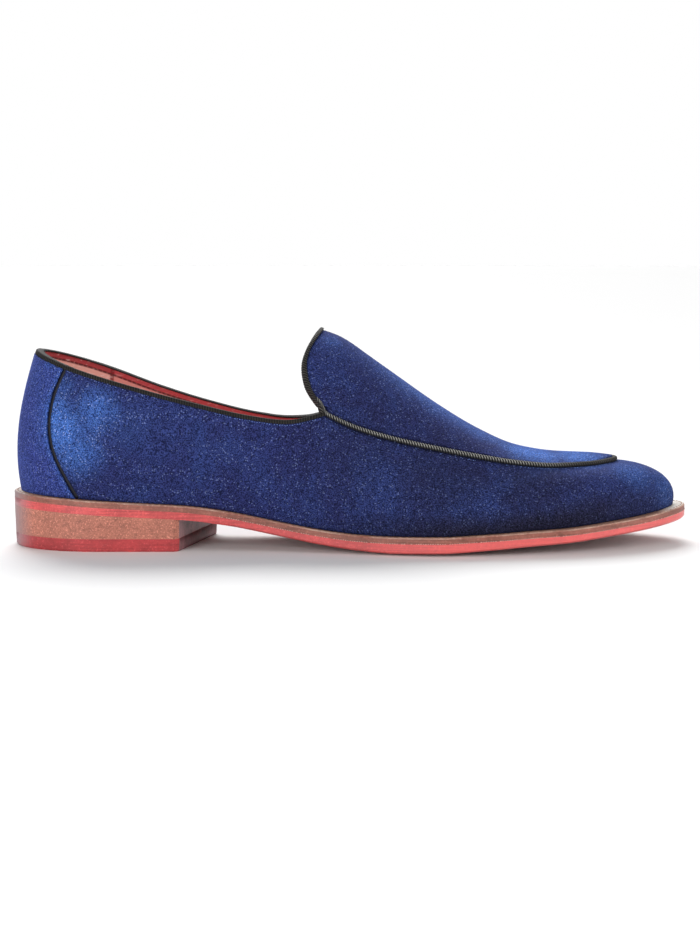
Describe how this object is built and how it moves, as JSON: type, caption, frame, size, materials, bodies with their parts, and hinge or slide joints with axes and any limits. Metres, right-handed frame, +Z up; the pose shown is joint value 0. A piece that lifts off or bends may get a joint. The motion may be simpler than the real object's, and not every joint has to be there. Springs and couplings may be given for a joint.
{
  "type": "velvet slipper loafer",
  "caption": "Low slip-on dress shoe with a velvet upper, corded apron seam, ribbed tape round the collar and tongue, leather sole and stacked heel.",
  "frame": {"origin": "middle of the shoe's length and width, on the floor under the sole", "axes": "+X from heel to toe, +Y to the inner (medial) side of the foot, +Z up; the outer (lateral) side faces -Y"},
  "size_m": [0.304, 0.0999, 0.097],
  "materials": {
    "velvet": "deep blue velvet with a short pile, napped and sparkling where light grazes it",
    "ribbed_tape": "charcoal ribbed tape, matt with fine cross ribs",
    "piping_cord": "charcoal ribbed cord with pale worn ribs",
    "sock_leather": "coral red lining leather, smooth, semi-matt",
    "welt_leather": "reddish brown welt with a worn lighter edge",
    "sole_leather": "coral red sole with a waxed satin edge",
    "stacked_leather": "salmon tan heel stack with a fine speckled grain",
    "top_lift": "crimson heel lift, satin"
  },
  "bodies": {
    "root": {"upper": "velvet", "heel_counter": "velvet", "collar_binding": "ribbed_tape", "tongue_binding": "ribbed_tape", "apron_piping": "piping_cord", "insole": "sock_leather", "welt": "welt_leather", "outsole": "sole_leather", "heel_stack": "stacked_leather", "top_lift": "top_lift"}
  },
  "joints": []
}
